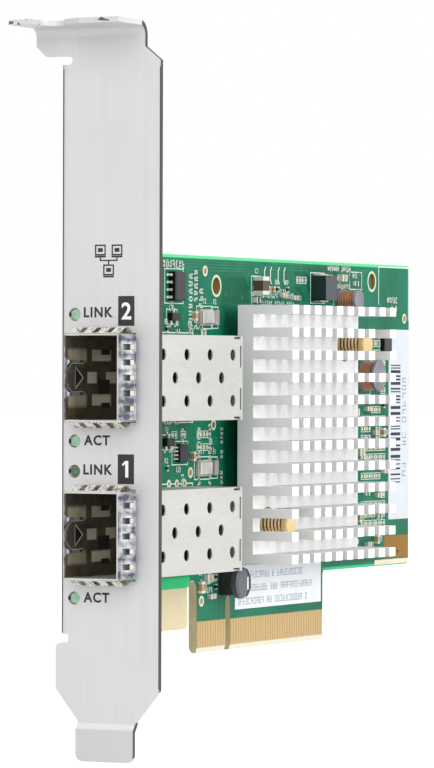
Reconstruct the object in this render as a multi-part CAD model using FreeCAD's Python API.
import FreeCAD, Part
import math
import os
from FreeCAD import Rotation, Vector

# Two-port network interface card for a PCI Express x8 slot, in millimetres.
#
# Frame: the origin is the centre of the key notch, at the bottom of the edge
# contacts and in the middle of the board's thickness. +X points out of the
# component side, +Y runs into the computer, away from the bracket, and +Z is up.

# ---------------------------------------------------------------- circuit board
board_thickness = 1.57
board_top = 68.3              # from the bottom of the edge contacts
board_rear = 77.4
board_bottom = 12.4           # behind the edge connector
board_corner = 0.8
board_gap = 1.15              # between the bracket's sheet and the board
front_tab_bottom = 4.4
edge_front = -12.15
edge_rear = 39.15
edge_corner = 0.5
key_width = 1.9
key_top = 9.4
relief_width = 3.7
relief_top = 12.6
bevel_height = 0.95
bevel_depth = 0.35

contact_pitch = 1.0
contact_width = 0.7
contact_top = 5.35
contact_thickness = 0.05
first_contact = 1.5           # from the key's centre to the nearest contacts
contacts_before_key = 11
contacts_after_key = 38

tooling_holes = [(-4.9, 63.2), (60.4, 65.1)]
tooling_hole_radius = 1.5

# --------------------------------------------------------------------- bracket
sheet = 0.86
bracket_face = -55.14         # outer face
bracket_left = -3.175
bracket_end = -15.36          # end of the tab
bracket_width = 18.42
seat_height = 120.02          # from the tab's end to the flange's underside
flange_reach = 9.6            # from the outer face
flange_left = -4.45           # from the bracket's left edge
flange_right = 15.6
flange_bend = 1.6
slot_centre = 2.2
slot_width = 4.42
slot_reach = 5.0
slot_flare_width = 3.9
slot_flare_depth = 2.4
slot_flare_corner = 0.6
shoulder_drop = 3.37          # the next four are measured down from the seat
shoulder_low_drop = 5.67
ear_drop = 4.67
upper_relief_drop = 6.07
ear_chamfer = 1.75
upper_relief_end = 2.25
lower_relief = 20.67
lower_relief_end = 1.7
relief_gap = 1.4
foot_left = -0.65
foot_corner = 1.0
foot_height = 11.7
foot_radius = 1.2
tab_left = 3.55
tab_right = 14.1
tab_top = 6.5
tab_bend = 6.4                # where the joggle starts
tab_bend_end = 5.2
tab_offset = 0.9              # outwards
tab_corner = 1.3
wing_bend = 0.4
wing_depth = 6.0
lug_depth = 13.0
lug_width = 9.0
lug_corner = 2.5

screw_setback = 8.5           # from the bracket's outer face
screw_heights = [9.2, 62.1]
screw_radius = 1.45
screw_head_radius = 2.75
screw_head_height = 1.9
screw_recess_width = 0.7
screw_recess_length = 3.0
screw_recess_depth = 1.1
screw_clearance = 0.2
hidden_sides = 12             # of bores and shanks that other pieces hide
thread_clearance = 0.02
spacer_across_corners = 5.6

led_drop = 10.4               # from a port's centre to the light below it
led_rise = 10.35              # from a port's centre to the light above it
led_hole_radius = 1.08
led_hole_sides = 20
led_hole_offset = -0.395      # from the board's middle plane
led_width = 2.0
led_height = 1.1
led_length = 2.4
led_overhang = 0.6
led_lens_radius = 0.5
led_lens_length = 0.3

# ----------------------------------------------------------------------- ports
port_names = ["1", "2"]
port_centres = [21.65, 47.35]
cage_wall = 0.25
cage_width = 14.28
cage_height = 9.8
cage_nose = 5.7               # how far a cage stands out of the bracket
cage_rear = -14.6
cage_fit = 0.05
cutout_clearance = 0.35
vent_radius = 1.0
vent_sides = 12
vent_pitch = 8.73
vent_row = 3.87
vent_first = 10.55            # from the bracket's face to an outer row's first
outer_vents = 4
inner_vents = 3
seam_width = 0.55
seam_start = 1.75
seam_end = 5.45
seam_setback = 0.5
corner_slit = 2.5
corner_slit_setback = 0.8
corner_slit_size = 0.55
leg_length = 0.75             # below the solder side
leg_width = 0.9
leg_setbacks = [12.0, 26.0, 38.0]
leg_clearance = 0.15

tongue_width = 4.8
tongue_slit = 0.5
tongue_setback = 0.5
tongue_corner = 1.3
tongue_length = 6.6
latch_front = 3.5
latch_length = 2.4
latch_width = 3.2
side_window_length = 7.1
side_window_first = 9.1       # windows are measured from the cage's front
side_window_pitch = 9.6
side_window_row = 3.65
middle_window_length = 4.0
middle_window_first = 7.2
middle_window_pitch = 6.9
window_height = 1.9
windows_per_row = 2

collar_thickness = 0.12
collar_band = 0.9
collar_rise = 0.95
collar_crest = (0.42, 0.72)   # shares of a strip's bowed length between which it is flat
collar_gap = 0.15             # between the strips' ends and the bracket
collar_corner = 0.3           # left open between two strips
top_slot_count = 5
side_slot_count = 3
collar_slot_width = 1.0
collar_slot_pitch = 2.5
collar_slot_start = 1.1       # from the cage's front
collar_slot_length = 2.5

connector_width = 11.9
connector_height = 5.6
connector_depth = 9.2
connector_setback = 0.8       # from the cage's rear wall
connector_slot_height = 1.4
connector_slot_depth = 6.0
connector_slot_width = 9.4
connector_slot_rise = 2.2
connector_pin_count = 10
connector_pin_pitch = 0.8
connector_pin_width = 0.35
connector_pin_length = 0.7
connector_pin_height = 0.25

# ------------------------------------------------------------------- heat sink
chip_size = 25.0
chip_height = 2.5
pad_size = 23.0
pad_height = 0.5
sink_front = -2.5
sink_bottom = 15.25
sink_depth = 43.7
sink_height = 44.7
sink_base = 3.0
pin_height = 7.5
pin_rows = 12
pin_columns = 10
pin_thickness = 1.56
pin_length = 2.6
push_pin_radius = 1.25
push_pin_bore = 1.5
push_pin_well = 3.05
push_pin_well_depth = 1.6
push_pin_barrel = 1.9
push_pin_barrel_length = 0.5
push_pin_head = 2.05
push_pin_head_length = 0.65
push_pin_barb = 3.6
push_pin_barb_thickness = 1.2
push_pin_tip = 1.2
push_pin_tip_length = 1.8
spring_length = 5.1
spring_wire = 0.4             # square
spring_turns = 4
spring_sides = 12             # straight lengths of wire in one turn
spring_clearance = 0.25

# ------------------------------------------------------ parts on the board face
lead_thickness = 0.2
lead_foot = 0.55

memory_place = (-21.3, 62.9)
memory_body = (3.9, 4.9, 1.5)
memory_lead_reach = 1.05
memory_lead_pitch = 1.27
memory_lead_width = 0.42

monitor_place = (-18.9, 34.5)
monitor_body = (3.0, 3.0, 0.95)
monitor_lead_reach = 0.95
monitor_lead_pitch = 0.65
monitor_lead_width = 0.3

transistor_places = [(-22.1, 57.7), (-23.9, 36.4)]
transistor_body = (2.9, 1.35, 1.0)
transistor_lead_reach = 0.55
transistor_lead_width = 0.42
transistor_lead_pitch = 1.9

crystal_places = [(-9.6, 57.7), (-10.3, 31.8)]
crystal_size = (5.0, 2.8)
crystal_base_height = 0.55
crystal_lid_inset = 0.25
crystal_lid_height = 0.5

filter_places = [(-5.5, 57.7), (-5.6, 31.8)]
filter_size = (1.5, 2.6, 0.6)

supply_choke_place = (36.6, 63.5)
supply_choke_body = (4.7, 4.5, 2.8)
supply_choke_terminal = 0.25
supply_choke_terminal_width = 3.4
supply_choke_corner = 0.4

# (distance behind the heat sink, z, radius, height)
drums = [
    (5.0, 61.4, 2.0, 4.0),
    (15.1, 47.7, 2.9, 3.5),
]
drum_base_height = 0.7
drum_flange = 0.5
drum_lip = 0.25               # from a winding's outside to the rim of its drum
winding_depth = 1.2           # from the rim of a drum to its hub
winding_sides = 24
winding_clearance = 0.05

reservoir_place = (-1.5, 11.8)
reservoir_base = 4.2
reservoir_base_height = 2.6
reservoir_base_chamfer = 0.7
reservoir_can_radius = 2.7
reservoir_can_height = 1.3
reservoir_can_bevel = 0.35

power_stage_setback = 24.8    # from the heat sink's rear
power_stage_z = 53.2
power_stage_body = (3.2, 3.0, 1.0)

# (y, z, size along y, size along z, height); the longer side carries the ends
block_capacitors = [
    (11.1, 63.5, 2.5, 3.2, 1.9),
    (10.4, 61.0, 1.6, 0.9, 0.8),
]
ceramic_capacitors = [
    (-14.0, 57.9, 0.8, 1.6, 0.8),
    (-14.6, 33.9, 0.8, 1.6, 0.8),
    (-9.6, 15.3, 1.6, 0.8, 0.8),
    (-8.6, 12.8, 2.0, 1.25, 0.9),
    (-7.3, 9.6, 1.6, 0.8, 0.8),
    (-11.2, 11.3, 1.25, 2.0, 0.8),
    (15.6, 63.0, 0.5, 1.0, 0.5),
    (17.6, 63.0, 0.5, 1.0, 0.5),
    (21.4, 62.0, 1.6, 0.8, 0.8),
    (26.5, 61.6, 1.6, 0.8, 0.6),
    (46.4, 65.5, 2.0, 1.25, 1.0),
]
chip_resistors = [
    (-5.2, 12.9, 0.5, 1.0, 0.35),
    (-5.2, 11.2, 0.5, 1.0, 0.35),
    (19.4, 63.0, 0.5, 1.0, 0.35),
    (23.6, 63.0, 0.5, 1.0, 0.35),
    (52.8, 64.6, 1.6, 0.8, 0.45),
    (-24.0, 32.0, 0.5, 1.0, 0.35),
    (-7.0, 35.0, 1.0, 0.5, 0.35),
]
# (y, gap above the upper cage, size along y, size along z, height)
chip_resistors_by_cage = [
    (-24.2, 0.6, 0.5, 1.0, 0.35),
    (-20.2, 0.6, 1.0, 0.5, 0.35),
    (-15.2, 0.6, 1.0, 0.5, 0.35),
]
# (distance behind the heat sink, z, size along y, size along z, height)
ceramic_capacitors_by_sink = [
    (5.6, 38.4, 1.6, 0.8, 0.8),
    (9.1, 21.6, 0.8, 1.6, 0.8),
    (11.0, 21.6, 0.8, 1.6, 0.8),
    (12.9, 21.6, 0.8, 1.6, 0.8),
    (16.6, 41.6, 1.6, 0.8, 0.8),
    (20.4, 37.2, 1.6, 0.8, 0.8),
    (23.6, 37.2, 0.8, 1.6, 0.8),
    (13.4, 33.6, 2.0, 1.25, 0.9),
    (24.4, 30.0, 1.6, 0.8, 0.8),
    (21.4, 25.6, 1.6, 0.8, 0.8),
    (17.1, 16.6, 1.6, 0.8, 0.8),
    (21.0, 17.4, 0.8, 1.6, 0.8),
    (10.8, 41.0, 2.0, 1.25, 1.0),
]
chip_resistors_by_sink = [
    (5.2, 46.2, 1.0, 0.5, 0.35),
    (5.2, 44.9, 1.0, 0.5, 0.35),
    (6.4, 30.4, 0.8, 1.6, 0.45),
    (8.2, 30.4, 0.8, 1.6, 0.45),
    (6.6, 26.2, 1.6, 0.8, 0.45),
    (20.8, 45.4, 1.6, 0.8, 0.45),
    (22.4, 21.6, 1.6, 0.8, 0.45),
    (24.4, 42.2, 0.5, 1.0, 0.35),
    (17.3, 30.8, 1.6, 0.8, 0.45),
    (16.8, 26.0, 1.6, 0.8, 0.45),
    (11.8, 17.2, 1.6, 0.8, 0.45),
]
chip_end_share = 0.22
chip_end_lip = 0.03

# --------------------------------------------------------------------- labels
label_thickness = 0.1
part_label_y = (2.7, 38.2)
part_label_z = (6.9, 17.0)
serial_label_setback = 26.9   # from the heat sink's rear; the label ends at the board's
serial_label_z = (20.9, 56.3)

# ------------------------------------------------------------- worked-out places
component_face = board_thickness / 2
solder_face = -board_thickness / 2
sheet_back = bracket_face + sheet
board_front = sheet_back + board_gap
wing_inner = bracket_left + sheet
screw_y = bracket_face + screw_setback
screw_bore = screw_radius + screw_clearance
cage_front = bracket_face - cage_nose
cage_top = component_face + cage_height
cage_centre = component_face + cage_height / 2
upper_relief = seat_height - upper_relief_drop
sink_rear = sink_front + sink_depth
power_stage_place = (sink_rear + power_stage_setback, power_stage_z)
serial_label_y = (sink_rear + serial_label_setback, board_rear)
led_centres = [port + offset for port in port_centres for offset in (-led_drop, led_rise)]
chip_top = component_face + chip_height
pad_top = chip_top + pad_height
sink_floor = pad_top + sink_base
sink_tip = sink_floor + pin_height
row_pitch = (sink_height - pin_thickness) / (pin_rows - 1)
column_pitch = (sink_depth - pin_length) / (pin_columns - 1)
well_floor = sink_floor - push_pin_well_depth


def column_middle(index):
    """Y of the middle of a column of heat-sink pins, counted from the bracket."""
    return sink_front + index * column_pitch + pin_length / 2


def row_middle(index):
    """Z of the middle of a row of heat-sink pins, counted from the bottom."""
    return sink_bottom + index * row_pitch + pin_thickness / 2


sink_middle = (sink_front + sink_depth / 2, sink_bottom + sink_height / 2)

# One push pin takes the place of two pins in the second column, at the bottom. The
# other lies opposite it, through the heat sink's middle.
low_push_pin = (column_middle(1), (row_middle(1) + row_middle(2)) / 2)
push_pins = [low_push_pin, tuple(2 * middle - low for middle, low in zip(sink_middle, low_push_pin))]


# ----------------------------------------------------------------- basic forms
def block(x, y, z):
    """Box between the low and high value given for each axis."""
    return Part.makeBox(x[1] - x[0], y[1] - y[0], z[1] - z[0], Vector(x[0], y[0], z[0]))


def span(middle, size):
    """Low and high value of a size about its middle."""
    return (middle - size / 2, middle + size / 2)


def rod(radius, x, place):
    """Cylinder along X between two values of x, at a place (y, z)."""
    return Part.makeCylinder(radius, x[1] - x[0], Vector(x[0], *place), Vector(1, 0, 0))


def polygon_rod(radius, sides, x, place):
    """Regular prism along X between two values of x, with its corners at a radius."""
    turns = [2 * math.pi * corner / sides for corner in range(sides)]
    corners = [(place[0] + radius * math.cos(turn), place[1] + radius * math.sin(turn), 0) for turn in turns]
    return prism(corners, lambda y, z: Vector(x[0], y, z), Vector(x[1] - x[0], 0, 0))


def joined(shapes):
    """One solid made of shapes that meet."""
    return shapes[0].multiFuse(shapes[1:]).removeSplitter()


def group(shapes):
    """Separate solids kept together in one node."""
    return Part.makeCompound(shapes)


def prism(corners, place, direction):
    """Extrude an outline whose corners are (u, v, radius); place turns (u, v) into a point."""
    points = [place(u, v) for u, v, radius in corners]
    starts = []
    arcs = []
    for index, (u, v, radius) in enumerate(corners):
        corner = points[index]
        if radius == 0:
            starts.append((corner, corner))
            arcs.append(None)
            continue
        before = (points[index - 1] - corner).normalize()
        after = (points[(index + 1) % len(points)] - corner).normalize()
        half_angle = before.getAngle(after) / 2
        setback = radius / math.tan(half_angle)
        middle_line = (before + after).normalize()
        middle = corner + middle_line * (radius / math.sin(half_angle) - radius)
        starts.append((corner + before * setback, corner + after * setback))
        arcs.append(middle)
    edges = []
    for index, middle in enumerate(arcs):
        arrive, leave = starts[index]
        if middle is not None:
            edges.append(Part.Arc(arrive, middle, leave).toShape())
        following = starts[(index + 1) % len(starts)][0]
        if leave.distanceToPoint(following) > 1e-6:
            edges.append(Part.LineSegment(leave, following).toShape())
    return Part.Face(Part.Wire(edges)).extrude(direction)


def triangle(a, b, c):
    """Flat three-cornered face."""
    return Part.Face(Part.makePolygon([a, b, c, a]))


def turned(profile, place):
    """Revolve a profile of (x, radius) corners about an X axis through (y, z)."""
    points = [Vector(x, place[0] + radius, place[1]) for x, radius in profile]
    face = Part.Face(Part.makePolygon(points + points[:1]))
    return face.revolve(Vector(0, *place), Vector(1, 0, 0), 360)


# --------------------------------------------------------------------- bracket
def on_bracket(x, z):
    """Point on the bracket's outer face, from its left edge and the tab's end."""
    return Vector(bracket_left + x, bracket_face, bracket_end + z)


def bracket_plate():
    """Flat face of the bracket, with its ear, foot and two bend reliefs."""
    outer_bend = wing_bend + sheet
    relief_round = relief_gap / 2
    ear_bottom = seat_height - ear_drop
    corners = [
        (flange_left, seat_height - flange_bend, 0),
        (flange_right, seat_height - flange_bend, 0),
        (flange_right, seat_height - shoulder_drop, 0),
        (bracket_width, seat_height - shoulder_low_drop, 0),
        (bracket_width, foot_height, foot_radius),
        (tab_right, tab_top, foot_radius),
        (tab_right, tab_bend, 0),
        (tab_left, tab_bend, 0),
        (tab_left, tab_top, foot_radius),
        (foot_left, foot_height, foot_radius),
        (foot_left, lower_relief - relief_gap, foot_corner),
        (lower_relief_end, lower_relief - relief_gap, relief_round / 2),
        (lower_relief_end, lower_relief, relief_round / 2),
        (outer_bend, lower_relief, 0),
        (outer_bend, upper_relief, 0),
        (upper_relief_end, upper_relief, relief_round),
        (upper_relief_end, upper_relief + relief_gap, relief_round),
        (flange_left + ear_chamfer, ear_bottom, 0),
        (flange_left, ear_bottom + ear_chamfer, 0),
    ]
    return prism(corners, on_bracket, Vector(0, sheet, 0))


def bracket_flange():
    """Top flange, bent outwards, with the slot for the chassis screw."""
    rise = seat_height - flange_bend
    inner = flange_bend
    outer = flange_bend + sheet
    middle = math.sqrt(0.5)
    x = bracket_left + flange_left
    centre_y = bracket_face - flange_bend
    centre_z = bracket_end + rise

    def point(radius, across, up):
        return Vector(x, centre_y + radius * across, centre_z + radius * up)

    reach = Vector(x, bracket_face - flange_reach, 0)
    top_end = Vector(x, reach.y, centre_z + outer)
    bottom_end = Vector(x, reach.y, centre_z + inner)
    edges = [
        Part.Arc(point(inner, 1, 0), point(inner, middle, middle), point(inner, 0, 1)).toShape(),
        Part.LineSegment(point(inner, 0, 1), bottom_end).toShape(),
        Part.LineSegment(bottom_end, top_end).toShape(),
        Part.LineSegment(top_end, point(outer, 0, 1)).toShape(),
        Part.Arc(point(outer, 0, 1), point(outer, middle, middle), point(outer, 1, 0)).toShape(),
        Part.LineSegment(point(outer, 1, 0), point(inner, 1, 0)).toShape(),
    ]
    flange = Part.Face(Part.Wire(edges)).extrude(Vector(flange_right - flange_left, 0, 0))
    return flange.cut(flange_slot())


def flange_slot():
    """Open slot in the flange, round at its inner end and flared at one side of its mouth."""
    half = slot_width / 2
    middle = bracket_left + slot_centre
    mouth = bracket_face - flange_reach
    inner_end = mouth + slot_reach
    below = bracket_end + seat_height - sheet

    def place(x, y):
        return Vector(middle + x, y, below)

    corners = [
        (-half, mouth - sheet, 0),
        (-half, inner_end, half),
        (half, inner_end, half),
        (half, mouth + slot_flare_depth, slot_flare_corner),
        (half + slot_flare_width, mouth, 0),
        (half + slot_flare_width, mouth - sheet, 0),
    ]
    return prism(corners, place, Vector(0, 0, 3 * sheet))


def bracket_wing():
    """Side wing folded back along the left edge, with two lugs that hold the board."""
    outer = wing_bend + sheet
    middle = math.sqrt(0.5)
    low = bracket_end + lower_relief
    height = upper_relief - lower_relief
    centre_x = bracket_left + outer
    centre_y = bracket_face + outer

    def point(radius, across, back):
        return Vector(centre_x - radius * across, centre_y - radius * back, low)

    edges = [
        Part.Arc(point(outer, 0, 1), point(outer, middle, middle), point(outer, 1, 0)).toShape(),
        Part.LineSegment(point(outer, 1, 0), point(wing_bend, 1, 0)).toShape(),
        Part.Arc(point(wing_bend, 1, 0), point(wing_bend, middle, middle), point(wing_bend, 0, 1)).toShape(),
        Part.LineSegment(point(wing_bend, 0, 1), point(outer, 0, 1)).toShape(),
    ]
    fold = Part.Face(Part.Wire(edges)).extrude(Vector(0, 0, height))

    def place(y, z):
        return Vector(bracket_left, bracket_face + y, z)

    corners = [(outer, low, 0)]
    for z in screw_heights:
        corners.append((wing_depth, z - lug_width / 2, 0))
        corners.append((lug_depth, z - lug_width / 2, lug_corner))
        corners.append((lug_depth, z + lug_width / 2, lug_corner))
        corners.append((wing_depth, z + lug_width / 2, 0))
    corners.insert(1, (wing_depth, low, 0))
    corners.append((wing_depth, low + height, 0))
    corners.append((outer, low + height, 0))
    wing = prism(corners, place, Vector(sheet, 0, 0))
    for z in screw_heights:
        hole = rod(screw_radius + thread_clearance, (bracket_left - sheet, wing_inner + sheet), (screw_y, z))
        wing = wing.cut(hole)
    return joined([fold, wing])


def bracket_tab():
    """Tab at the foot, set outwards by a joggle."""
    corners = [
        (tab_left, tab_bend, 0),
        (tab_right, tab_bend, 0),
        (tab_right, 0, tab_corner),
        (tab_left, 0, tab_corner),
    ]
    outline = prism(corners, lambda x, z: on_bracket(x, z) - Vector(0, tab_offset, 0),
                    Vector(0, tab_offset + sheet, 0))
    lean = math.atan2(tab_offset, tab_bend - tab_bend_end)
    drop = sheet * math.tan(lean / 2)
    side = [
        (0, tab_bend, 0),
        (-tab_offset, tab_bend_end, 0),
        (-tab_offset, 0, 0),
        (sheet - tab_offset, 0, 0),
        (sheet - tab_offset, tab_bend_end - drop, 0),
        (sheet, tab_bend - drop, 0),
        (sheet, tab_bend, 0),
    ]
    folded = prism(side, lambda y, z: on_bracket(tab_left, z) + Vector(0, y, 0),
                   Vector(tab_right - tab_left, 0, 0))
    return outline.common(folded)


def bracket():
    """The slot cover that carries the board: one folded sheet."""
    body = joined([bracket_plate(), bracket_flange(), bracket_wing(), bracket_tab()])
    through = (bracket_face - sheet, sheet_back + sheet)
    for centre in port_centres:
        x = (component_face - cutout_clearance, cage_top + cutout_clearance)
        z = span(centre, cage_width + 2 * cutout_clearance)
        body = body.cut(block(x, through, z))
    for z in led_centres:
        turns = [2 * math.pi * corner / led_hole_sides for corner in range(led_hole_sides)]
        corners = [(led_hole_radius * math.cos(turn), led_hole_radius * math.sin(turn), 0) for turn in turns]
        hole = prism(corners, lambda x, up: Vector(led_hole_offset + x, through[0], z + up), Vector(0, 3 * sheet, 0))
        body = body.cut(hole)
    return body


def bracket_spacers():
    """Hexagonal spacers between the bracket's lugs and the board."""
    spacers = []
    for z in screw_heights:
        x = (wing_inner, solder_face)
        spacer = polygon_rod(spacer_across_corners / 2, 6, x, (screw_y, z))
        spacers.append(spacer.cut(polygon_rod(screw_bore, hidden_sides, x, (screw_y, z))))
    return group(spacers)


def bracket_screws():
    """Cross-head screws through the board and the spacers into the lugs."""
    screws = []
    top = component_face + screw_head_height
    recess = (top - screw_recess_depth, top + screw_recess_depth)
    profile = [
        (bracket_left, 0),
        (bracket_left, screw_radius),
        (component_face, screw_radius),
        (component_face, screw_head_radius),
        (top, screw_head_radius),
        (top, 0),
    ]
    for z in screw_heights:
        screw = turned(profile, (screw_y, z))
        for wide, tall in ((screw_recess_width, screw_recess_length), (screw_recess_length, screw_recess_width)):
            screw = screw.cut(block(recess, span(screw_y, wide), span(z, tall)))
        screws.append(screw)
    return group(screws)


# --------------------------------------------------------------- circuit board
def board_outline():
    """Board blank, with the edge connector, its key notch and the relief beside it."""
    key = key_width / 2
    relief_front = edge_front - relief_width
    relief_round = relief_width / 2

    def place(y, z):
        return Vector(solder_face, y, z)

    corners = [
        (board_front, board_top, board_corner),
        (board_rear, board_top, board_corner),
        (board_rear, board_bottom, board_corner),
        (edge_rear, board_bottom, board_corner),
        (edge_rear, edge_corner, 0),
        (edge_rear - edge_corner, 0, 0),
        (key, 0, 0),
        (key, key_top, key),
        (-key, key_top, key),
        (-key, 0, 0),
        (edge_front + edge_corner, 0, 0),
        (edge_front, edge_corner, 0),
        (edge_front, relief_top, relief_round),
        (relief_front, relief_top, relief_round),
        (relief_front, front_tab_bottom + edge_corner, 0),
        (relief_front - edge_corner, front_tab_bottom, 0),
        (board_front, front_tab_bottom, board_corner),
    ]
    return prism(corners, place, Vector(board_thickness, 0, 0))


def edge_bevel(side):
    """Material taken off one face along the bottom of the edge connector."""
    face = side * board_thickness / 2
    margin = side * bevel_depth

    def place(x, z):
        return Vector(x, edge_front - bevel_depth, z)

    corners = [
        (face, bevel_height, 0),
        (face - margin, 0, 0),
        (face - margin, -bevel_height, 0),
        (face + margin, -bevel_height, 0),
        (face + margin, bevel_height, 0),
    ]
    return prism(corners, place, Vector(0, edge_rear - edge_front + 2 * bevel_depth, 0))


def leg_places():
    """Places (y, z of the wall's middle) of the legs under one cage's walls, for each cage."""
    wall = (cage_width - cage_wall) / 2
    return [[(bracket_face + setback, centre + side * wall) for setback in leg_setbacks for side in (-1, 1)]
            for centre in port_centres]


def circuit_board():
    """Bare board with every hole that something passes through."""
    board = board_outline()
    through = (solder_face - board_thickness, component_face + board_thickness)
    cutters = [edge_bevel(-1), edge_bevel(1)]
    for place in tooling_holes:
        cutters.append(rod(tooling_hole_radius, through, place))
    for z in screw_heights:
        cutters.append(polygon_rod(screw_bore, hidden_sides, through, (screw_y, z)))
    for place in push_pins:
        cutters.append(polygon_rod(push_pin_bore, hidden_sides, through, place))
    for cage in leg_places():
        for y, z in cage:
            wide = leg_width + 2 * leg_clearance
            thick = cage_wall + 2 * leg_clearance
            cutters.append(block(through, span(y, wide), span(z, thick)))
    return board.cut(cutters)


def edge_contacts(side):
    """Gold contacts on one face of the edge connector."""
    face = side * board_thickness / 2
    x = sorted((face, face + side * contact_thickness))
    places = [-first_contact - index * contact_pitch for index in range(contacts_before_key)]
    places += [first_contact + index * contact_pitch for index in range(contacts_after_key)]
    return group([block(x, span(y, contact_width), (bevel_height, contact_top)) for y in places])


# ----------------------------------------------------------------------- ports
def cage_cover(index):
    """Folded sheet shell of a port: top, two sides, rear wall and the legs through the board."""
    centre = port_centres[index]
    shell = block((component_face, cage_top), (cage_front, cage_rear), span(centre, cage_width))
    inside = block((component_face - cage_wall, cage_top - cage_wall), (cage_front - cage_wall, cage_rear - cage_wall),
                   span(centre, cage_width - 2 * cage_wall))
    shell = shell.cut(inside)
    cutters = []
    through = (cage_top - 2 * cage_wall, cage_top + cage_wall)
    first = bracket_face + vent_first
    for side in (-1, 1):
        for hole in range(outer_vents):
            place = (first + hole * vent_pitch, centre + side * vent_row)
            cutters.append(polygon_rod(vent_radius, vent_sides, through, place))
        seam_y = cage_rear - seam_setback
        seam = sorted((centre + side * seam_start, centre + side * seam_end))
        cutters.append(block(through, (seam_y - seam_width, seam_y), seam))
        slit_y = cage_rear - corner_slit_setback
        slit_z = centre + side * cage_width / 2
        slit_x = (cage_top - corner_slit_size, cage_top + corner_slit_size)
        cutters.append(block(slit_x, (slit_y - corner_slit, slit_y), span(slit_z, 2 * corner_slit_size)))
    for hole in range(inner_vents):
        place = (first + (hole + 0.5) * vent_pitch, centre)
        cutters.append(polygon_rod(vent_radius, vent_sides, through, place))
    shell = shell.cut(cutters)
    legs = [block((solder_face - leg_length, component_face), span(y, leg_width), span(z, cage_wall))
            for y, z in leg_places()[index]]
    return joined([shell] + legs)


def connector_front():
    """Y of the front of the host connectors."""
    return cage_rear - cage_wall - connector_setback - connector_depth


def cage_base(index):
    """Floor plate of a port, with its latch tongue and the windows punched in it."""
    centre = port_centres[index]
    half = cage_width / 2 - cage_wall - cage_fit
    rear = connector_front() - connector_setback
    tongue = tongue_width / 2
    slit = tongue + tongue_slit
    slit_end = cage_front + tongue_length
    tongue_front = cage_front + tongue_setback

    def place(y, z):
        return Vector(component_face, y, centre + z)

    corners = [
        (rear, half, 0),
        (cage_front, half, 0),
        (cage_front, slit, tongue_corner),
        (slit_end, slit, 0),
        (slit_end, tongue, 0),
        (tongue_front, tongue, tongue_corner),
    ]
    corners += [(y, -z, radius) for y, z, radius in reversed(corners)]
    plate = prism(corners, place, Vector(cage_wall, 0, 0))
    latch = cage_front + latch_front
    triangle = [(latch, -latch_width / 2, 0), (latch, latch_width / 2, 0), (latch + latch_length, 0, 0)]
    cutters = [prism(triangle, place, Vector(cage_wall, 0, 0))]
    x = (component_face - cage_wall, component_face + 2 * cage_wall)
    for hole in range(windows_per_row):
        y = cage_front + side_window_first + hole * side_window_pitch
        for side in (-1, 1):
            z = span(centre + side * side_window_row, window_height)
            cutters.append(block(x, (y, y + side_window_length), z))
        y = cage_front + middle_window_first + hole * middle_window_pitch
        cutters.append(block(x, (y, y + middle_window_length), span(centre, window_height)))
    return plate.cut(cutters)


def collar_strip(length, slots):
    """Bowed spring strip, rising along +X from the cage's wall, with its middle at Z = 0."""
    start = cage_front + collar_band
    reach = bracket_face - collar_gap - start
    rising, falling = (start + share * reach for share in collar_crest)
    end = start + reach
    width = length - 2 * collar_corner

    def place(y, x):
        return Vector(x, y, -width / 2)

    corners = [
        (start, 0, 0),
        (rising, collar_rise, 0),
        (falling, collar_rise, 0),
        (end, cage_fit, 0),
        (end, cage_fit + collar_thickness, 0),
        (falling, collar_rise + collar_thickness, 0),
        (rising, collar_rise + collar_thickness, 0),
        (start, collar_thickness, 0),
    ]
    strip = prism(corners, place, Vector(0, 0, width))
    y = cage_front + collar_slot_start
    across = (0, collar_rise + 2 * collar_thickness)
    cutters = []
    for slot in range(slots):
        z = span((slot - (slots - 1) / 2) * collar_slot_pitch, collar_slot_width)
        cutters.append(block(across, (y, y + collar_slot_length), z))
    return strip.cut(cutters)


def emi_collar(index):
    """Spring collar round a cage's nose, with a slotted strip on each side that presses on the bracket."""
    centre = port_centres[index]
    y = (cage_front, cage_front + collar_band)
    x = (component_face, cage_top)
    z = span(centre, cage_width)
    outer = block((x[0] - collar_thickness, x[1] + collar_thickness), y,
                  (z[0] - collar_thickness, z[1] + collar_thickness))
    pieces = [outer.cut(block(x, y, z))]
    for quarter in range(4):
        if quarter % 2:
            strip = collar_strip(cage_height, side_slot_count)
            reach = cage_width / 2
        else:
            strip = collar_strip(cage_width, top_slot_count)
            reach = cage_height / 2
        strip.translate(Vector(reach, 0, 0))
        strip.rotate(Vector(0, 0, 0), Vector(0, 1, 0), 90 * quarter)
        strip.translate(Vector(cage_centre, 0, centre))
        pieces.append(strip)
    return joined(pieces)


def host_connector(index):
    """Card-edge socket at the back of a port."""
    centre = port_centres[index]
    front = connector_front()
    body = block((component_face, component_face + connector_height), (front, front + connector_depth),
                 span(centre, connector_width))
    top_front = [edge for edge in body.Edges
                 if edge.CenterOfMass.x > component_face + connector_height - cage_fit
                 and edge.CenterOfMass.y < front + cage_fit]
    body = body.makeChamfer(connector_slot_height / 2, top_front)
    slot_x = component_face + connector_slot_rise
    slot = block((slot_x, slot_x + connector_slot_height), (front - connector_slot_depth, front + connector_slot_depth),
                 span(centre, connector_slot_width))
    return body.cut(slot)


def connector_pins_of(index):
    """Solder tails in front of and behind a host connector."""
    centre = port_centres[index]
    front = connector_front()
    x = (component_face, component_face + connector_pin_height)
    rows = [(front - connector_pin_length, front),
            (front + connector_depth, front + connector_depth + connector_pin_length)]
    first = centre - (connector_pin_count - 1) * connector_pin_pitch / 2
    return group([block(x, y, span(first + pin * connector_pin_pitch, connector_pin_width))
                  for y in rows for pin in range(connector_pin_count)])


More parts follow.
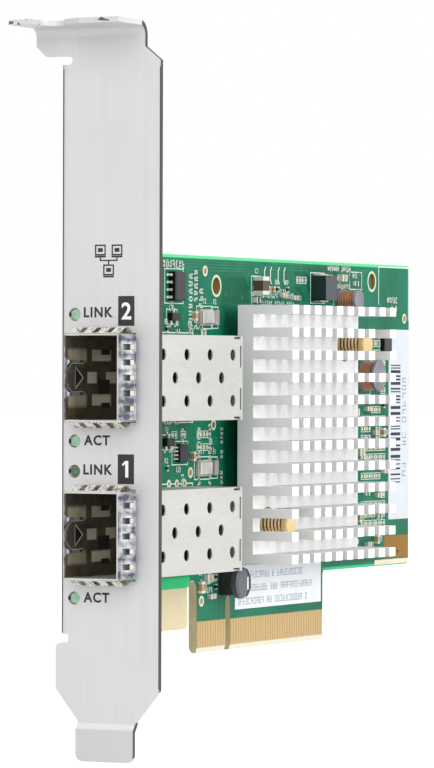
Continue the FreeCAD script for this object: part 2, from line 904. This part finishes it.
def led(z):
    """Side-view indicator on the solder side, looking out through the bracket."""
    x = (solder_face - led_height, solder_face)
    front = board_front - led_overhang
    body = block(x, (front, front + led_length), span(z, led_width))
    start = Vector(solder_face - led_height / 2, front - led_lens_length, z)
    lens = Part.makeCylinder(led_lens_radius, led_lens_length + led_overhang, start, Vector(0, 1, 0))
    return joined([body, lens])


# ------------------------------------------------------------------- heat sink
def heat_sink():
    """Pin-fin block: a base plate with channels cut both ways and a well for each push pin."""
    y = (sink_front, sink_front + sink_depth)
    z = (sink_bottom, sink_bottom + sink_height)
    body = block((pad_top, sink_tip), y, z)
    above = (sink_floor, sink_tip + sink_base)
    cutters = []
    for row in range(pin_rows - 1):
        gap = (row_middle(row) + pin_thickness / 2, row_middle(row + 1) - pin_thickness / 2)
        cutters.append(block(above, (y[0] - 1, y[1] + 1), gap))
    for column in range(pin_columns - 1):
        gap = (column_middle(column) + pin_length / 2, column_middle(column + 1) - pin_length / 2)
        cutters.append(block(above, gap, (z[0] - 1, z[1] + 1)))
    for place in push_pins:
        cutters.append(rod(push_pin_well, (well_floor, above[1]), place))
        cutters.append(polygon_rod(push_pin_bore, hidden_sides, (0, above[1]), place))
    return body.cut(cutters)


def push_pin(place):
    """Pin that holds the heat sink down: flat barbed end, round shank, barrel and head."""
    barrel = well_floor + spring_length
    head = barrel + push_pin_barrel_length
    top = head + push_pin_head_length
    profile = [
        (barrel, 0),
        (barrel, push_pin_barrel),
        (head, push_pin_barrel),
        (head, push_pin_head),
        (top - push_pin_head_length / 3, push_pin_head),
        (top, push_pin_barrel),
        (top, 0),
    ]
    tip = solder_face - push_pin_tip_length
    y, z = place
    barb = [
        (solder_face, y - push_pin_barb / 2, 0),
        (tip, y - push_pin_tip / 2, 0),
        (tip, y + push_pin_tip / 2, 0),
        (solder_face, y + push_pin_barb / 2, 0),
    ]
    low = z - push_pin_barb_thickness / 2
    arrow = prism(barb, lambda x, across: Vector(x, across, low), Vector(0, 0, push_pin_barb_thickness))
    shank = polygon_rod(push_pin_radius, hidden_sides, (solder_face, barrel), place)
    return joined([turned(profile, place), shank, arrow])


def push_pin_spring(place):
    """Coil spring of square wire between the well's floor and the push pin's barrel."""
    inner = push_pin_radius + spring_clearance
    outer = inner + spring_wire
    rise = (spring_length - spring_wire) / (spring_turns * spring_sides)
    faces = []
    rings = []
    for step in range(spring_turns * spring_sides + 1):
        turn = 2 * math.pi * step / spring_sides
        low = well_floor + step * rise
        ring = []
        for radius, x in ((inner, low), (outer, low), (outer, low + spring_wire), (inner, low + spring_wire)):
            ring.append(Vector(x, place[0] + radius * math.cos(turn), place[1] + radius * math.sin(turn)))
        rings.append(ring)
    for before, after in zip(rings, rings[1:]):
        for corner in range(4):
            following = (corner + 1) % 4
            faces.append(triangle(before[corner], before[following], after[following]))
            faces.append(triangle(before[corner], after[following], after[corner]))
    for end in (rings[0], rings[-1]):
        faces.append(Part.Face(Part.makePolygon(end + end[:1])))
    coil = Part.Solid(Part.Shell(faces))
    if coil.Volume < 0:
        coil.reverse()
    return coil


def controller_chip():
    """Network controller in its ball-grid package, under the heat sink."""
    y, z = sink_middle
    return block((component_face, chip_top), span(y, chip_size), span(z, chip_size))


def thermal_pad():
    """Soft pad between the controller and the heat sink."""
    y, z = sink_middle
    return block((chip_top, pad_top), span(y, pad_size), span(z, pad_size))


# ------------------------------------------------------ parts on the board face
def moulded_body(place, size, stand_off=0.0):
    """Moulded package with a bevel round its top."""
    y, z = place
    length, width, height = size
    bevel = height * 0.15
    body = block((component_face + stand_off, component_face + height), span(y, length), span(z, width))
    top = [edge for edge in body.Edges if abs(edge.CenterOfMass.x - component_face - height) < 1e-6]
    return body.makeChamfer(bevel, top)


def gull_lead(reach, height, width):
    """Bent lead that leaves a package at its waist; the package's side is at Y = 0, Z = 0."""
    waist = height / 2
    knee = reach - lead_foot
    corners = [
        (0, waist, 0),
        (knee + lead_thickness, waist, 0),
        (knee + lead_thickness, lead_thickness, 0),
        (reach, lead_thickness, 0),
        (reach, 0, 0),
        (knee, 0, 0),
        (knee, waist - lead_thickness, 0),
        (0, waist - lead_thickness, 0),
    ]

    def place(y, x):
        return Vector(x, y, -width / 2)

    return prism(corners, place, Vector(0, 0, width))


def leads_in_y(place, size, count, pitch, reach, width):
    """Rows of leads on the two sides of a package that face -Y and +Y."""
    y, z = place
    leads = []
    for side in (-1, 1):
        for number in range(count):
            lead = gull_lead(reach, size[2], width)
            if side < 0:
                lead.rotate(Vector(0, 0, 0), Vector(1, 0, 0), 180)
            height = z + (number - (count - 1) / 2) * pitch
            lead.translate(Vector(component_face, y + side * size[0] / 2, height))
            leads.append(lead)
    return leads


def transistor_leads(place):
    """Two leads below a small transistor and one above it."""
    y, z = place
    length, width, height = transistor_body
    leads = []
    for offset, side in ((-transistor_lead_pitch / 2, -1), (transistor_lead_pitch / 2, -1), (0, 1)):
        lead = gull_lead(transistor_lead_reach + lead_foot, height, transistor_lead_width)
        lead.rotate(Vector(0, 0, 0), Vector(1, 0, 0), 90 * side)
        lead.translate(Vector(component_face, y + offset, z + side * width / 2))
        leads.append(lead)
    return leads


def chip_piece(part):
    """Body and two end caps of a two-terminal chip, whose ends are on its longer side."""
    y, z, length, width, height = part
    along_y = length > width
    long_side = max(length, width)
    end = long_side * chip_end_share
    inner = long_side - 2 * end
    body_height = (component_face, component_face + height)
    end_height = (component_face, component_face + height + chip_end_lip)
    if along_y:
        body = block(body_height, span(y, inner), span(z, width))
        caps = [block(end_height, span(y + side * (long_side - end) / 2, end), span(z, width + 2 * chip_end_lip))
                for side in (-1, 1)]
    else:
        body = block(body_height, span(y, length), span(z, inner))
        caps = [block(end_height, span(y, length + 2 * chip_end_lip), span(z + side * (long_side - end) / 2, end))
                for side in (-1, 1)]
    return body, caps


def behind_sink(parts):
    """Chips listed by their distance behind the heat sink, with that turned into Y."""
    return [(sink_rear + distance, *rest) for distance, *rest in parts]


def crystals():
    """Ceramic bases and metal lids of the two crystals."""
    bases = []
    lids = []
    lid_floor = component_face + crystal_base_height
    for y, z in crystal_places:
        length, width = crystal_size
        bases.append(block((component_face, lid_floor), span(y, length), span(z, width)))
        lid = block((lid_floor, lid_floor + crystal_lid_height), span(y, length - 2 * crystal_lid_inset),
                    span(z, width - 2 * crystal_lid_inset))
        top = [edge for edge in lid.Edges
               if edge.CenterOfMass.x > lid_floor + crystal_lid_height - 1e-6]
        lids.append(lid.makeChamfer(crystal_lid_height / 3, top))
    return group(bases), group(lids)


def supply_choke():
    """Moulded choke and the metal terminals folded up its two ends."""
    y, z = supply_choke_place
    length, width, height = supply_choke_body
    body = block((component_face, component_face + height), span(y, length), span(z, width))
    upright = [edge for edge in body.Edges if abs(edge.CenterOfMass.x - component_face - height / 2) < 1e-6]
    body = body.makeFillet(supply_choke_corner, upright)
    terminals = []
    for side in (-1, 1):
        middle = z + side * (width + supply_choke_terminal) / 2
        terminals.append(block((component_face, component_face + height / 2), span(y, supply_choke_terminal_width),
                               span(middle, supply_choke_terminal)))
    return body, group(terminals)


def drum_core(drum):
    """Ferrite drum of an open choke: base, hub and top flange in one piece."""
    distance, z, radius, height = drum
    place = (sink_rear + distance, z)
    top = component_face + height
    base = rod(radius, (component_face, component_face + drum_base_height), place)
    hub = polygon_rod(radius - winding_depth, hidden_sides, (component_face, top), place)
    flange = rod(radius, (top - drum_flange, top), place)
    return joined([base, hub, flange])


def drum_winding(drum):
    """Copper winding between the flanges of a drum."""
    distance, z, radius, height = drum
    place = (sink_rear + distance, z)
    x = (component_face + drum_base_height, component_face + height - drum_flange)
    outside = polygon_rod(radius - drum_lip, winding_sides, x, place)
    return outside.cut(polygon_rod(radius - winding_depth + winding_clearance, hidden_sides, x, place))


def reservoir_capacitor():
    """Square base and round can of the capacitor beside the edge connector."""
    y, z = reservoir_place
    floor = component_face + reservoir_base_height
    base = block((component_face, floor), span(y, reservoir_base), span(z, reservoir_base))
    rear_edges = [edge for edge in base.Edges
                  if edge.CenterOfMass.y > y + reservoir_base / 2 - 1e-6
                  and abs(edge.CenterOfMass.z - z) > reservoir_base / 2 - 1e-6]
    base = base.makeChamfer(reservoir_base_chamfer, rear_edges)
    can = rod(reservoir_can_radius, (floor, floor + reservoir_can_height), reservoir_place)
    rim = [edge for edge in can.Edges if edge.CenterOfMass.x > floor + reservoir_can_height - 1e-6]
    return base, can.makeChamfer(reservoir_can_bevel, rim)


def label(y, z):
    """Paper label stuck on the component side."""
    return block((component_face, component_face + label_thickness), y, z)


# ------------------------------------------------------------------------ build
def build():
    """Every node of the card, by name."""
    parts = {
        "bracket": bracket(),
        "bracket_spacers": bracket_spacers(),
        "bracket_screws": bracket_screws(),
        "circuit_board": circuit_board(),
        "component_side_contacts": edge_contacts(1),
        "solder_side_contacts": edge_contacts(-1),
        "heat_sink": heat_sink(),
        "thermal_pad": thermal_pad(),
        "controller_chip": controller_chip(),
        "part_label": label(part_label_y, part_label_z),
        "serial_label": label(serial_label_y, serial_label_z),
    }
    for index, name in enumerate(port_names):
        parts["cage_cover_" + name] = cage_cover(index)
        parts["cage_base_" + name] = cage_base(index)
        parts["emi_collar_" + name] = emi_collar(index)
        parts["host_connector_" + name] = host_connector(index)
        parts["host_connector_pins_" + name] = connector_pins_of(index)
        parts["activity_led_" + name] = led(led_centres[2 * index])
        parts["link_led_" + name] = led(led_centres[2 * index + 1])
    for index, place in enumerate(push_pins):
        parts["push_pin_" + str(index + 1)] = push_pin(place)
        parts["push_pin_spring_" + str(index + 1)] = push_pin_spring(place)

    parts["memory_chip"] = moulded_body(memory_place, memory_body)
    parts["memory_chip_leads"] = group(leads_in_y(memory_place, memory_body, 4, memory_lead_pitch,
                                                  memory_lead_reach, memory_lead_width))
    parts["monitor_chip"] = moulded_body(monitor_place, monitor_body)
    parts["monitor_chip_leads"] = group(leads_in_y(monitor_place, monitor_body, 4, monitor_lead_pitch,
                                                   monitor_lead_reach, monitor_lead_width))
    parts["transistors"] = group([moulded_body(place, transistor_body) for place in transistor_places])
    parts["transistor_leads"] = group([lead for place in transistor_places for lead in transistor_leads(place)])
    parts["crystal_bases"], parts["crystal_lids"] = crystals()
    parts["filter_chips"] = group([moulded_body(place, filter_size) for place in filter_places])
    parts["supply_choke"], parts["supply_choke_terminals"] = supply_choke()
    parts["drum_choke_cores"] = group([drum_core(drum) for drum in drums])
    parts["drum_choke_windings"] = group([drum_winding(drum) for drum in drums])
    parts["reservoir_capacitor_base"], parts["reservoir_capacitor_can"] = reservoir_capacitor()
    parts["power_stage_chip"] = moulded_body(power_stage_place, power_stage_body)
    cage_edge = port_centres[-1] + cage_width / 2
    beside_cage = [(y, cage_edge + gap + wide / 2, long, wide, high)
                   for y, gap, long, wide, high in chip_resistors_by_cage]
    chips = {
        "block_capacitor": block_capacitors,
        "ceramic_capacitor": ceramic_capacitors + behind_sink(ceramic_capacitors_by_sink),
        "chip_resistor": chip_resistors + beside_cage + behind_sink(chip_resistors_by_sink),
    }
    for name, places in chips.items():
        pieces = [chip_piece(part) for part in places]
        parts[name + "_bodies"] = group([body for body, caps in pieces])
        parts[name + "_ends"] = group([cap for body, caps in pieces for cap in caps])
    return parts


os.makedirs("parts", exist_ok=True)
for node, shape in build().items():
    shape.exportStep("parts/" + node + ".step")
